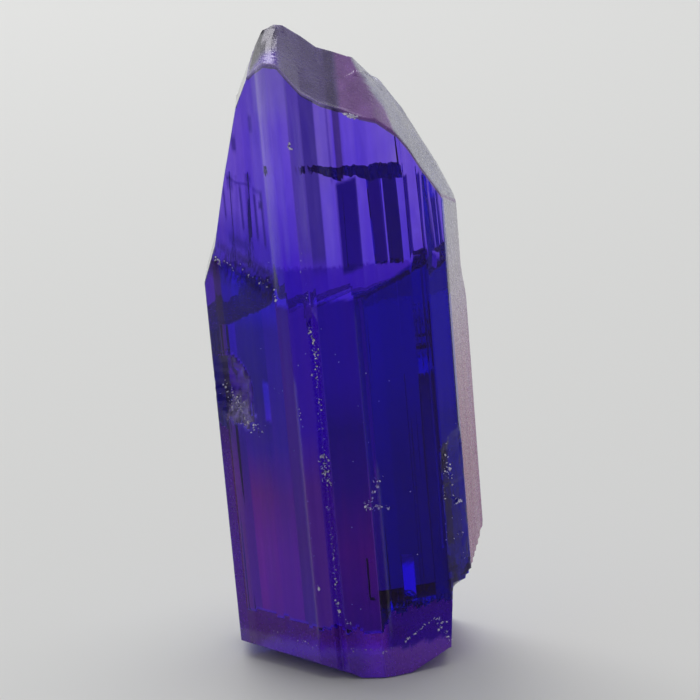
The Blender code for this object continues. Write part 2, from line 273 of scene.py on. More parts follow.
# Share of red, green and blue that each face of the front keeps, by height: (x from, x to, list of
# (z, red, green, blue)). Above the dark line z counts from that line. These shares were fitted to
# the look of the front by comparing test renders with the photo, strip by strip.
# Both tables are partly the crystal's own colour and partly painted shade: the dark zones and bars
# seen through the front are painted onto its faces.
LOWER_TINT_AND_SHADE = [
    (-3.30, -2.86, [
        (0.5, 0.50, 0.17, 0.84), (4.8, 0.48, 0.15, 0.84), (5.8, 0.40, 0.10, 0.70),
        (9.8, 0.40, 0.12, 0.70),
    ]),
    (-2.86, -2.69, [
        (0.5, 0.60, 0.12, 0.32), (4.8, 0.56, 0.08, 0.28), (5.8, 0.25, 0.02, 0.26),
        (9.8, 0.20, 0.02, 0.28),
    ]),
    (-2.69, -2.45, [
        (0.7, 0.50, 0.12, 0.38), (4.0, 0.45, 0.08, 0.30), (5.4, 0.14, 0.01, 0.28),
        (9.6, 0.10, 0.01, 0.72),
    ]),
    (-2.45, -1.78, [
        (0.6, 0.60, 0.22, 0.32), (0.9, 1.00, 0.12, 0.41), (3.0, 1.00, 0.11, 0.39),
        (4.4, 0.85, 0.08, 0.28), (5.5, 0.20, 0.01, 0.36), (6.8, 0.05, 0.01, 0.27),
        (8.5, 0.05, 0.01, 0.38), (9.6, 0.10, 0.01, 1.00),
    ]),
    (-1.78, -1.43, [
        (0.6, 0.60, 0.22, 0.32), (0.9, 1.00, 0.12, 0.41), (3.0, 0.95, 0.11, 0.38),
        (4.4, 0.75, 0.08, 0.29), (5.7, 0.20, 0.01, 0.37), (8.5, 0.13, 0.01, 0.42),
        (9.6, 0.14, 0.01, 0.90),
    ]),
    (-1.43, -1.15, [
        (0.6, 0.60, 0.20, 0.32), (1.5, 0.45, 0.10, 0.33), (3.4, 0.45, 0.01, 0.25),
        (9.3, 0.30, 0.01, 0.36),
    ]),
    (-1.15, -0.76, [
        (0.6, 0.60, 0.22, 0.32), (0.9, 1.00, 0.55, 0.31), (4.8, 0.98, 0.50, 0.28),
        (6.2, 0.40, 0.14, 0.44), (9.3, 0.40, 0.13, 0.48),
    ]),
    (-0.76, -0.48, [
        (0.6, 0.60, 0.22, 0.32), (0.9, 0.50, 0.20, 0.33), (4.8, 0.50, 0.18, 0.33),
        (6.0, 0.37, 0.13, 0.46), (9.3, 0.38, 0.14, 0.48),
    ]),
    (-0.48, 0.36, [
        (0.6, 0.50, 0.10, 0.17), (0.9, 0.38, 0.06, 0.25), (1.8, 0.52, 0.05, 0.24),
        (3.2, 0.74, 0.06, 0.23), (4.8, 0.18, 0.01, 0.22), (6.2, 0.08, 0.01, 0.22),
        (7.4, 0.14, 0.01, 0.37), (9.4, 0.15, 0.01, 0.39),
    ]),
    (0.36, 0.60, [
        (0.6, 0.60, 0.20, 0.40), (0.9, 1.00, 0.14, 0.32), (4.6, 1.00, 0.14, 0.30),
        (5.6, 0.18, 0.01, 0.32), (9.4, 0.16, 0.01, 0.34),
    ]),
    (0.60, 0.95, [
        (0.5, 1.00, 0.50, 1.00), (1.7, 0.80, 0.15, 0.80), (2.2, 0.06, 0.01, 0.32),
        (5.0, 0.05, 0.01, 0.28), (7.5, 0.08, 0.01, 0.44), (9.8, 0.11, 0.01, 0.52),
    ]),
    (0.95, 1.75, [
        (0.5, 1.00, 0.50, 1.00), (1.5, 0.90, 0.25, 1.00), (2.0, 0.04, 0.01, 0.26),
        (5.0, 0.03, 0.01, 0.23), (6.0, 0.03, 0.01, 0.27), (7.5, 0.05, 0.01, 0.39),
        (9.8, 0.08, 0.01, 0.47),
    ]),
    (1.75, 2.04, [
        (0.5, 1.00, 0.50, 1.00), (1.5, 0.90, 0.25, 1.00), (2.0, 0.06, 0.01, 1.00),
        (7.6, 0.08, 0.01, 1.00), (7.8, 0.08, 0.01, 0.60), (9.8, 0.09, 0.01, 0.62),
    ]),
    (2.04, 2.14, [
        (0.5, 1.00, 0.50, 1.00), (1.5, 0.90, 0.25, 1.00), (2.0, 0.05, 0.01, 0.40),
        (9.8, 0.09, 0.01, 0.55),
    ]),
    (2.14, 3.20, [
        (0.5, 0.90, 0.50, 0.90), (1.8, 0.05, 0.01, 0.34), (6.2, 0.05, 0.01, 0.34),
        (6.6, 0.18, 0.03, 0.44), (9.8, 0.20, 0.04, 0.58),
    ]),
]
UPPER_TINT_AND_SHADE = [
    (-3.30, -1.95, [
        (0.0, 0.26, 0.15, 0.68), (0.9, 0.28, 0.16, 0.70), (1.5, 0.60, 0.46, 0.89),
        (3.0, 0.64, 0.48, 0.89), (4.2, 0.52, 0.41, 0.80),
    ]),
    (-1.95, -1.40, [
        (0.0, 0.29, 0.17, 0.68), (0.9, 0.31, 0.18, 0.70), (1.5, 0.62, 0.48, 0.89),
        (3.0, 0.64, 0.48, 0.89), (4.2, 0.52, 0.41, 0.80),
    ]),
    (-1.40, -0.76, [
        (0.0, 0.45, 0.20, 0.88), (0.8, 0.48, 0.22, 0.88), (1.5, 0.66, 0.56, 0.88),
        (2.2, 0.76, 0.66, 0.94), (3.0, 1.00, 0.98, 1.00), (4.2, 0.92, 0.90, 0.90),
        (5.2, 0.78, 0.80, 0.76),
    ]),
    (-0.76, -0.48, [
        (0.0, 0.62, 0.42, 0.92), (0.8, 0.60, 0.42, 0.80), (1.4, 0.60, 0.64, 0.60),
    ]),
    (-0.48, -0.16, [
        (0.0, 0.66, 0.42, 0.95), (0.6, 0.60, 0.36, 0.86), (1.1, 0.34, 0.36, 0.42),
    ]),
    (-0.16, 0.20, [
        (0.0, 0.80, 0.60, 0.95), (0.5, 0.85, 0.70, 0.95), (0.9, 1.00, 1.00, 1.00),
        (2.5, 1.00, 1.00, 1.00), (3.1, 0.98, 1.00, 0.87),
    ]),
    (0.20, 0.66, [
        (0.0, 0.80, 0.62, 0.95), (0.56, 0.80, 0.62, 0.95), (0.66, 0.09, 0.02, 0.33),
        (2.66, 0.05, 0.01, 0.28), (2.74, 0.90, 0.85, 1.00),
    ]),
    (0.66, 3.20, [
        (0.0, 0.82, 0.66, 0.95), (0.5, 1.00, 1.00, 1.00), (2.6, 1.00, 1.00, 1.00),
        (3.0, 0.85, 0.80, 1.00),
    ]),
]
# Small spots on them, brighter on the lower faces and painted shade on the upper ones: (x from, x
# to, z from, z to, blur, share of red, green and blue), with z over the dark line for the upper ones
LOWER_BRIGHT_SPOTS = [
    (-1.92, -1.78, 6.28, 7.26, 0.06, 4.50, 16.0, 2.60),
    # Painted light: the light that the window low on the back lets through
    (0.97, 1.27, 1.80, 2.75, 0.08, 2.80, 1.20, 4.40),
]
UPPER_SHADE_SPOTS = [
    (-2.10, -2.00, 2.95, 3.30, 0.08, 0.30, 0.22, 0.50),
    (-1.66, -1.58, 3.55, 3.95, 0.08, 0.45, 0.38, 0.65),
    (-2.30, -1.50, 2.18, 2.24, 0.02, 0.50, 0.42, 0.70),
    (-2.30, -2.16, 1.95, 2.30, 0.08, 0.50, 0.42, 0.70),
    (-1.60, -1.52, 1.82, 1.94, 0.03, 0.20, 0.14, 0.40),
    (-1.84, -1.72, 2.28, 2.50, 0.06, 0.50, 0.42, 0.70),
    (-2.03, -1.98, 1.10, 2.15, 0.10, 0.25, 0.18, 0.46),
    (-1.71, -1.66, 1.00, 2.10, 0.10, 0.20, 0.14, 0.42),
    (-1.55, -1.50, 0.90, 2.20, 0.10, 0.25, 0.18, 0.46),
    (-2.42, -2.38, 1.20, 1.95, 0.10, 0.25, 0.18, 0.46),
    (-2.38, -1.95, 0.62, 0.84, 0.08, 0.50, 0.42, 0.70),
    (0.10, 0.15, 2.75, 9.00, 0.10, 0.60, 0.55, 0.75),
    (0.25, 0.41, 2.75, 9.00, 0.10, 0.40, 0.38, 0.36),
]
# Softness of the upright edges of faces and of marks
FACE_EDGE = 0.015
MARK_EDGE = 0.02
# Upright streaks of painted shade, for the striations' refraction, fine and broad: (height, pitch,
# seed), and the red, green and blue that they take
FINE_STREAKS = (1.0, (0.085, 0.085, 2.2), 51)
FINE_TAKEN = np.array([0.08, 0.10, 0.0])
BROAD_STREAKS = (1.0, (0.22, 0.22, 3.0), 52)
BROAD_TAKEN = np.array([0.08, 0.12, 0.01])
# Right side face, frosted from this x on: (z, share of red, green and blue kept, haze), and the
# strength of the streaks there
FROSTED_FROM = 2.64
FROSTED_STREAKS = 0.5
SIDE_TINT = np.array([
    (2.0, 0.80, 0.32, 0.60, 0.10), (4.5, 0.84, 0.36, 0.60, 0.15), (7.0, 0.96, 0.62, 0.76, 0.50),
    (9.0, 1.00, 0.92, 0.98, 0.80), (10.5, 1.00, 1.00, 1.00, 0.90),
])
# Haze, a dull worn film, and wear, rough and pitted: (x from, x to, z from, z to, blur, amount)
HAZE_ZONES = [
    (-3.20, 2.20, -1.0, 0.72, 0.07, 0.45),
    (-1.50, -0.74, 13.7, 15.2, 0.40, 0.80),
    (-1.65, -1.05, 11.6, 13.9, 0.80, 0.28),
    (-1.33, -1.22, 10.2, 13.9, 0.40, 0.35),
    (-1.07, -0.97, 10.2, 13.9, 0.40, 0.35),
    (-0.64, -0.52, 10.8, 13.6, 0.40, 0.35),
    (-0.14, 0.10, 10.3, 13.8, 0.30, 0.25),
    (-1.17, -1.12, 1.00, 7.40, 0.20, 0.60),
    (0.36, 0.41, 1.00, 9.00, 0.20, 0.20),
    (0.56, 0.62, 1.00, 5.30, 0.20, 0.40),
]
WEAR_ZONES = [
    (-0.74, -0.50, 1.50, 8.90, 0.20, 0.60),
    (-3.20, -1.40, 9.40, 10.6, 0.20, 0.25),
    (2.14, 2.66, 2.00, 6.20, 0.20, 0.25),
    (-3.20, 2.20, -1.0, 0.72, 0.10, 0.25),
    (-3.20, -1.40, 10.6, 12.4, 0.40, 0.08),
]
# Wear of the other parts
FROSTED_WEAR = 0.5
FLOOR_WEAR = 0.5
LEDGE_WEAR = 0.25
UNDER_WEAR = 0.3
FOOT_WEAR = 0.5
TOP_WEAR = 0.5
LEAST_WEAR = 0.01
# The left chip's tint, mottled, right of CHIP_FROM and inside these distances from its ball's middle
CHIP_TINT = np.array([0.34, 0.08, 0.95])
CHIP_LEVEL = 0.8
CHIP_MOTTLE = (0.35, (0.10, 0.10, 0.16), 66)
CHIP_FROM = -2.72
CHIP_SKIN = (LEFT_CHIP_RADIUS + 0.01, LEFT_CHIP_RADIUS + 0.03)
CHIP_WORN = 0.5
# Its bruised lower half: middle x and z with the reach along each, and the reaches between which it
# fades
BRUISE = (-2.52, 6.38, 0.42, 0.50)
BRUISE_FADE = (0.5, 1.1)
BRUISE_TINT = np.array([0.66, 0.56, 1.00])
BRUISE_LEVEL = 0.75
BRUISE_SPECKLE = (0.45, 0.05, 65)
BRUISE_JAG = (0.35, 0.12, 64)
BRUISE_HAZE = 0.40
BRUISE_WEAR = 0.8
BRUISE_WORN = 0.45
# Broken foot right of FOOT_FROM: its tint, lightened with painted light from the floor, and how high
# it reaches
FOOT_FROM = 0.38
FOOT_LIT_TINT = np.array([0.62, 0.28, 0.92])
FOOT_TOP = 0.72
# Dull worn band along the foot, right of BAND_FROM: its tint left and right of BAND_CHANGE, how much
# darker it gets to the left, the strength of the streaks there, and its top (x, z). The band is
# worn, and its tints are also lighter than the body above with painted light from the floor.
BAND_FROM = -2.86
BAND_LIT_TINT = np.array([0.60, 0.24, 0.92])
BAND_LIT_TINT_RIGHT = np.array([0.34, 0.14, 0.76])
BAND_CHANGE = (0.40, 0.60)
BAND_DARKER = 0.25
BAND_DARKER_LEFT = (-0.2, 0.4)
BAND_STREAKS = 0.2
FOOT_BAND = np.array([
    (-2.86, 1.38), (-1.43, 1.34), (0.38, 1.22), (0.62, 1.60), (2.10, 1.72), (2.16, 0.0),
])
# The left edge is worn up to the chip
LEFT_WORN_TOP = 5.95
# Worn top: grey mauve, pink mauve over PINK_FROM, a dark stripe (x from, x to, blur), pale on the
# steep side, and dark on the left. Amounts to the left and to the front are counted positive.
TOP_GREY = np.array([0.45, 0.39, 0.62])
TOP_PINK = np.array([0.65, 0.44, 0.77])
PINK_FROM = (0.36, 0.50)
TOP_STRIPE = (0.16, 0.36, 0.04)
STRIPE_DARK = 0.22
TOP_PALE = np.array([0.90, 0.90, 1.00])
STEEP_LIFT = 0.03
STEEP_BLUR = (-0.03, 0.01)
TOP_LEFT = (0.80, 1.00)
TOP_LEFT_DARK = 0.72
# Painted highlight on the top's left corner in front and on the pale front rim, the rim so many
# rows wide
CORNER_HIGHLIGHT = np.array([0.60, 0.48, 1.00])
CORNER_HIGHLIGHT_FRONT = (1.0, 1.8)
CORNER_HIGHLIGHT_LEFT = (0.78, 0.92)
RIM_HIGHLIGHT = np.array([0.76, 0.68, 1.00])
RIM_FADE = (-0.10, 0.50)
RIM_ROWS = 3
TOP_MOTTLE = [(0.10, (0.25, 0.5, 0.25), 71), (0.05, 0.10, 72)]

# Crushed grains, and one line of them that is a painted glint on the rim: lines along which they
# lie, (x, z) to (x, z), spread, how many, largest size
GRAIN_LINES = [
    (-0.66, 8.70, -0.58, 7.90, 0.035, 40, 0.055),
    (-0.62, 7.90, -0.62, 5.70, 0.030, 60, 0.036),
    (-0.66, 5.60, -0.58, 4.90, 0.060, 60, 0.055),
    (-0.62, 4.90, -0.62, 1.75, 0.028, 60, 0.036),
    (-0.64, 1.85, -0.58, 1.60, 0.035, 12, 0.060),
    (-0.55, 1.50, -0.30, 1.38, 0.020, 8, 0.034),
    (0.30, 4.35, 0.62, 4.95, 0.060, 26, 0.045),
    (0.22, 4.45, 0.36, 4.25, 0.040, 16, 0.045),
    (0.45, 4.35, 0.80, 4.22, 0.028, 24, 0.042),
    (-2.72, 6.55, -2.30, 6.10, 0.100, 70, 0.042),
    (-2.75, 6.95, -2.45, 6.45, 0.080, 40, 0.032),
    (-2.35, 6.15, -2.05, 5.95, 0.045, 18, 0.028),
    (-2.90, 7.72, -2.62, 7.98, 0.012, 26, 0.032),
    (2.28, 5.10, 2.34, 4.60, 0.030, 10, 0.060),
    (2.40, 3.95, 2.52, 3.98, 0.020, 10, 0.055),
    (2.20, 5.60, 2.45, 2.60, 0.070, 26, 0.034),
    (2.13, 5.00, 2.08, 3.10, 0.012, 14, 0.030),
    (0.90, 0.82, 1.58, 1.22, 0.015, 34, 0.040),
    (1.72, 1.25, 1.95, 0.65, 0.070, 30, 0.045),
    (-2.60, 0.92, -1.10, 0.72, 0.030, 30, 0.026),
    (-0.40, 0.75, 0.60, 0.70, 0.040, 26, 0.026),
    (-2.74, 10.12, -2.64, 9.98, 0.025, 16, 0.060),
    (-2.60, 10.05, -1.48, 9.65, 0.080, 26, 0.026),
    (-1.44, 9.55, -1.38, 9.30, 0.020, 6, 0.045),
    (-0.76, 13.00, -0.72, 12.80, 0.012, 6, 0.050),
    (-0.72, 11.60, -0.68, 11.30, 0.010, 5, 0.040),
    (-0.72, 10.50, -0.64, 9.30, 0.030, 12, 0.032),
    (-1.12, 6.80, -1.06, 6.20, 0.020, 9, 0.034),
    (-1.05, 2.45, -1.02, 2.20, 0.008, 6, 0.055),
    (-1.10, 4.60, -1.08, 3.00, 0.012, 10, 0.024),
    # Painted highlight: a dense line of pale grains on the front rim, for its white glint
    (0.50, 13.64, 0.80, 13.50, 0.016, 26, 0.075),
    (-2.60, 9.00, 2.10, 1.50, 1.300, 70, 0.020),
]
# Farthest that a grain may lie above or below the grid point that carries it
GRAIN_STEP = 0.12
GRAIN_SEED = 90
# A grain's share of the largest size: a random one from this on, to this power
GRAIN_LEAST = 0.25
GRAIN_POWER = 1.5
# A grain's eight faces, as numbers of its six corners
GRAIN_FACES = np.array([
    (0, 1, 2), (1, 3, 2), (3, 4, 2), (4, 0, 2), (1, 0, 5), (3, 1, 5), (4, 3, 5), (0, 4, 5)
])
# Slots of the materials: clear skin 0, worn skin 1, grains and the rim's painted glint 2
GRAIN_SLOT = 2
# Points closer than this (in metres) are one, and edges sharper than this are sharp
DOUBLES = 1e-6
SHARP = math.radians(7)

# Camera: looks down a little, and leans so that the crystal leans as in the photograph
CAMERA_DROP = math.radians(16)
CAMERA_LEAN = math.radians(5)
CAMERA_REACH = 60.0
CAMERA_TARGET = np.array([0.20, -0.40, 7.55])
CAMERA_LENS = 129.6
CAMERA_NEAR = 0.001

# Soft light from all round: its strength in front and behind, the part of the way between which it
# changes, and its colour
WORLD_FRONT = 0.20
WORLD_BACK = 0.75
WORLD_TURN = (-0.5, 0.6)
WORLD_COLOUR = (0.97, 0.98, 1.0, 1)
# Floor: half its width and its level, in metres and millimetres, and its finish
FLOOR_HALF = 1.2
FLOOR_LEVEL = -0.03
FLOOR_COLOUR = (0.695, 0.695, 0.68, 1)
FLOOR_ROUGHNESS = 0.9
FLOOR_SHINE = 0.1


def relief(points, pitch, seed):
    """Smooth noise from -1 to 1: random values on a cubic lattice of the given pitch, blended
    between the eight nearest corners by the smoothstep of the distance to each."""
    table = np.random.default_rng(seed).uniform(-1, 1, (32, 32, 32))
    scaled = points / np.asarray(pitch)
    cell = np.floor(scaled).astype(int)
    part = scaled - cell
    part = part * part * (3 - 2 * part)
    total = np.zeros(points.shape[:-1])
    for corner in np.ndindex(2, 2, 2):
        weight = np.prod(np.where(corner, part, 1 - part), axis=-1)
        index = (cell + corner) % 32
        total += weight * table[index[..., 0], index[..., 1], index[..., 2]]
    return total


def layered(points, *layers):
    """Sum of layers of relief, each (height, pitch, seed)."""
    return sum(height * relief(points, pitch, seed) for height, pitch, seed in layers)


def shards(points, pitch, seed):
    """Angular relief from 0 to 1: the plane is cut in cells round jittered points, and each cell is
    a facet with a height and a tilt of its own."""
    draw = np.random.default_rng(seed)
    sites = draw.random((64, 64, 2))
    heights = draw.random((64, 64))
    tilts = draw.uniform(-1, 1, (64, 64, 2))
    scaled = points / np.asarray(pitch)
    cell = np.floor(scaled).astype(int)
    nearest = np.full(points.shape[:-1], np.inf)
    value = np.zeros(points.shape[:-1])
    for step in np.ndindex(3, 3):
        here = cell + np.array(step) - 1
        index = here % 64
        offset = scaled - here - sites[index[..., 0], index[..., 1]]
        distance = (offset**2).sum(-1)
        tilt = tilts[index[..., 0], index[..., 1]]
        plane = heights[index[..., 0], index[..., 1]] + (offset * tilt).sum(-1)
        closer = distance < nearest
        nearest = np.where(closer, distance, nearest)
        value = np.where(closer, plane, value)
    return np.clip(value, 0, 1)


def smooth(x, low, high):
    """Smoothstep of x between low and high."""
    share = np.clip((x - low) / (high - low), 0, 1)
    return share * share * (3 - 2 * share)


def within(x, low, high, edge):
    """1 between low and high, falling to 0 over the edge's width on either side."""
    return smooth(x, low - edge, low + edge) * (1 - smooth(x, high - edge, high + edge))


def blend(first, second, share):
    """First where the share is 0, second where it is 1, and a straight mix between."""
    return first * (1 - share) + second * share


def by_height(z, keys):
    """Red, green and blue at height z, straight between the keys (z, red, green, blue)."""
    return np.stack([np.interp(z, keys[:, 0], keys[:, way]) for way in (1, 2, 3)], -1)


def side_fall(x, y):
    """Height of the steep fall on the right: a line by x that rises to the back."""
    return np.interp(x, *SIDE_FALL.T) + SIDE_FALL_LEAN * np.clip(y, RIM_Y, CREST_Y)


def top_height(x, y):
    """Height of the top: the straight blend from rim to crest across its depth, or the steep side
    fall where that is lower."""
    share = np.clip((y - RIM_Y) / (CREST_Y - RIM_Y), 0, 1)
    slope = blend(np.interp(x, *RIM.T), np.interp(x, *CREST.T), share)
    fall = np.where(x < SIDE_FALL[0, 0], APEX + 1, side_fall(x, y))
    return np.minimum(slope, fall)


def floor_height(x, y):
    """Height of the break's floor, a plane that rises to the right and falls to the back, with a
    step up near its right end."""
    start, end, rise = FLOOR_STEP_UP
    plane = FLOOR_MIDDLE + FLOOR_RISE * x - FLOOR_FALL * (y - FLOOR_Y)
    return plane + rise * smooth(x, start, end)


def ledge_line(x):
    """The ledge's lower and upper heights across the break's wall, with a jagged line."""
    line = np.stack([x, x * 0, x * 0], -1)
    low = np.interp(x, LEDGE[:, 0], LEDGE[:, 1]) + layered(line, *LEDGE_JAG)
    return low, low + np.interp(x, LEDGE[:, 0], LEDGE[:, 2])


def bars(x):
    """Depth of the bars' grooves at x, and the share of light kept there, their painted shade."""
    depth = np.zeros(x.shape)
    kept = np.ones(x.shape + (3,))
    for start, end, *share in BARS:
        inside = within(x, start, end, BAR_EDGE)
        depth = depth + BAR_DEPTH * inside * (max(share) < BAR_CLEAR)
        kept = kept * (1 + (np.array(share) - 1) * inside[..., None])
    return depth, kept


def wall_depth(x, z):
    """Depth of the break's wall: it leans forward as it rises, is grooved by the bars below the
    ledge, and slants forward over the ledge's height."""
    lean = WALL_LEAN * (np.interp(x, *WALL_TOP.T) - z)
    low, high = ledge_line(x)
    over = np.clip((z - low) / (high - low), 0, 1)
    groove = bars(x)[0] * smooth(z, BAR_FOOT - BAR_FOOT_SOFT, BAR_FOOT + BAR_FOOT_SOFT)
    return lean - over * np.interp(x, LEDGE[:, 0], LEDGE[:, 3]) - (1 - over) * groove


def base_height(x, y):
    """Height of the broken base: the highest of its slanting facets, and 0 on the flat."""
    place = np.stack([x, y], -1)
    rises = [(place @ facet[:2] - facet[2]) * facet[3] for facet in BASE_FACETS]
    return np.maximum(np.max(rises, axis=0), 0)


def chamfered(corners):
    """The outline with each corner replaced by two points, a short way along its two sides."""
    before = np.roll(corners, 1, 0) - corners
    after = np.roll(corners, -1, 0) - corners
    unit = [way / np.linalg.norm(way, axis=1, keepdims=True) for way in (before, after)]
    return np.stack([corners + unit[0] * CHAMFER, corners + unit[1] * CHAMFER], 1).reshape(-1, 2)


def terraces(start, end, draw):
    """Points along one side: it is cut at random places, and each piece lies a random depth inside
    the side at either end, with a short riser between neighbours."""
    way = end - start
    length = np.linalg.norm(way)
    inward = np.array([-way[1], way[0]]) / length
    deepest = FRONT_TERRACE if start[1] + end[1] < 0 else BACK_TERRACE
    count = int(length / TERRACE_WIDTH)
    if count < 2:
        return start[None]
    widths = draw.uniform(*TERRACE_SPREAD, count)
    cuts = np.cumsum(widths)[:-1] / widths.sum()
    gap = RISER / length / 2
    shares = np.concatenate([[0], np.stack([cuts - gap, cuts + gap], 1).ravel()])
    depths = np.concatenate([[0], draw.uniform(0, deepest, 2 * count - 2)])
    return start + way * shares[:, None] + inward * depths[:, None]


def prism_columns():
    """The columns of the side grid: (place, inward way, whether it is on the front)."""
    draw = np.random.default_rng(STRIA_SEED)
    ring = chamfered(OUTLINE)
    sides = [terraces(a, b, draw) for a, b in zip(ring, np.roll(ring, -1, 0))]
    ways = np.roll(ring, -1, 0) - ring
    inward = np.stack([-ways[:, 1], ways[:, 0]], 1)
    inward /= np.linalg.norm(inward, axis=1, keepdims=True)
    face = np.repeat(np.arange(len(ring)), [len(side) for side in sides])
    knots = np.concatenate(sides)
    # Each stretch between knots is filled with evenly spaced columns
    ahead = np.roll(knots, -1, 0) - knots
    pitch = np.where(knots[:, 0] > WALL_FROM, WALL_PITCH, SIDE_PITCH)
    pitch = np.where(face < FRONT_SIDES, FRONT_PITCH, pitch)
    counts = np.maximum(np.ceil(np.linalg.norm(ahead, axis=1) / pitch).astype(int), 1)
    source = np.repeat(np.arange(len(knots)), counts)
    step = np.arange(counts.sum()) - np.repeat(np.cumsum(counts) - counts, counts)
    place = knots[source] + ahead[source] * (step / counts[source])[:, None]
    return place, inward[face[source]], face[source] < FRONT_SIDES


def carved(place, inward, z):
    """Moves points of the prism's sides, x and y at height z, to where the breaks have left them.
    Each break is a limit: a point outside it moves straight onto it."""
    x = place[..., 0] * np.ones_like(z)
    y = place[..., 1] * np.ones_like(z)
    in_x, in_y = inward[..., 0], inward[..., 1]
    points = np.stack([x, y, z * np.ones_like(x)], -1)

    # Fine waves along the faces
    wave = layered(points, *FACE_WAVES)
    x = x + in_x * (wave + WAVE_INSET)
    y = y + in_y * (wave + WAVE_INSET)

    # Furrow: filled above its end
    middle, half, depth = FURROW
    across = np.clip(1 - np.abs(x - middle) / half, 0, 1)
    y = y - depth * across * smooth(z, *FURROW_END) * (y < FURROW_BEFORE)

    # Shoulder: the left of the front is set back above it, over steps that run down to the right
    line = np.interp(x, *SHOULDER.T)
    left_front = smooth(-x, *SHOULDER_RIGHT) * (y < SHOULDER_BACK)
    above = z - line + layered(points, SHOULDER_JAG)
    set_back = smooth(above, *SHOULDER_RISE) * SHOULDER_SETBACK
    band = smooth(above, *RUBBLE_START) * (1 - smooth(above, *RUBBLE_END))
    rough = shards(np.stack([x + RUBBLE_SKEW * y, above], -1), RUBBLE_FACET, RUBBLE_SEED)
    inset = left_front * (set_back + band * rough * RUBBLE_DEPTH)
    x = x + in_x * inset
    y = y + in_y * inset

    # Left fall
    left = np.interp(z, LEFT_FALL[:, 1], LEFT_FALL[:, 0])
    x = np.maximum(x, left)

    # Chip on the left edge: nothing is left inside a ball, whose face is rippled round its top
    offset = np.stack([x - LEFT_CHIP[0], y - LEFT_CHIP[1], z - LEFT_CHIP[2]], -1)
    distance = np.linalg.norm(offset, axis=-1)
    from_top = np.hypot(x - RIPPLE_TOP[0], z - RIPPLE_TOP[1])
    ripple = RIPPLE * np.sin(from_top * RIPPLE_RATE)
    short = np.clip(LEFT_CHIP_RADIUS + ripple - distance, 0, None)
    x = x + short * LEFT_CHIP_WAY[0]
    y = y + short * LEFT_CHIP_WAY[1]

    # Chip along the right front edge
    way = EDGE_CHIP[1] - EDGE_CHIP[0]
    out = np.array([way[1], -way[0]]) / np.linalg.norm(way)
    beyond = (x - EDGE_CHIP[0, 0]) * out[0] + (y - EDGE_CHIP[0, 1]) * out[1]
    allowed = EDGE_CHIP_FADE * smooth(z, EDGE_CHIP_FULL, EDGE_CHIP_TOP)
    allowed = allowed + NO_LIMIT * (z > EDGE_CHIP_TOP)
    pit_depth, pit_size, pit_seed = EDGE_PITS
    pitted = pit_depth * shards(np.stack([x - y, z], -1), pit_size, pit_seed)
    over = np.clip(beyond - allowed + pitted * (z < EDGE_CHIP_TOP), 0, None)
    x = x - over * out[0]
    y = y - over * out[1]

    # Window low on the back, turned about the upright, and the right edge worn back up high
    start, end, low, high, turn = WINDOW
    side_edge, level_edge = WINDOW_EDGES
    open_part = within(x, start, end, side_edge) * within(z, low, high, level_edge) * (y > 0)
    y = y - open_part * turn * np.clip(end - x, 0, None)
    x = np.minimum(x, RIGHT - EDGE_WORN * smooth(z, *EDGE_WORN_FROM))

    # Right side, broken off below its flake
    limit = NOTCH_SIDE + NOTCH_LEAN * z + NOTCH_TURN * y
    roof = NOTCH_ROOF + NOTCH_ROOF_RISE * np.clip(x - NOTCH_ROOF_FROM, 0, 1)
    roof = roof + layered(np.stack([x, y, z * 0 * x], -1), NOTCH_JAG)
    gone = 1 - smooth(z, roof - NOTCH_SOFT, roof + NOTCH_SOFT)
    x = x - np.clip(x - limit, 0, None) * gone
    return x, y


def tinted(x, z, faces, patches):
    """The shares of light kept: each face's own tint and painted shade by height, joined over its
    edges, times the shares of the small painted spots, each blended in from 1 over its blur."""
    total = np.zeros(x.shape + (3,))
    weight = np.full(x.shape + (1,), 1e-6)
    for left, right, heights in faces:
        keys = np.array(heights)
        inside = within(x, left, right, FACE_EDGE)[..., None]
        total += inside * by_height(z, keys)
        weight += inside
    kept = total / weight
    for left, right, low, high, blur, *share in patches:
        inside = within(x, left, right, MARK_EDGE) * within(z, low, high, blur)
        kept *= 1 + (np.array(share) - 1) * inside[..., None]
    return kept


def laid(x, z, zones):
    """Sum of the zones' amounts, each blended in from 0 over its blur, and 1 at most."""
    total = np.zeros(x.shape)
    for left, right, low, high, blur, amount in zones:
        total += amount * within(x, left, right, MARK_EDGE) * within(z, low, high, blur)
    return np.minimum(total, 1)


def stretch(low, high, count):
    """So many rows, evenly from low up to high, without high itself."""
    return low + (high - low) * np.linspace(0, 1, count, endpoint=False)


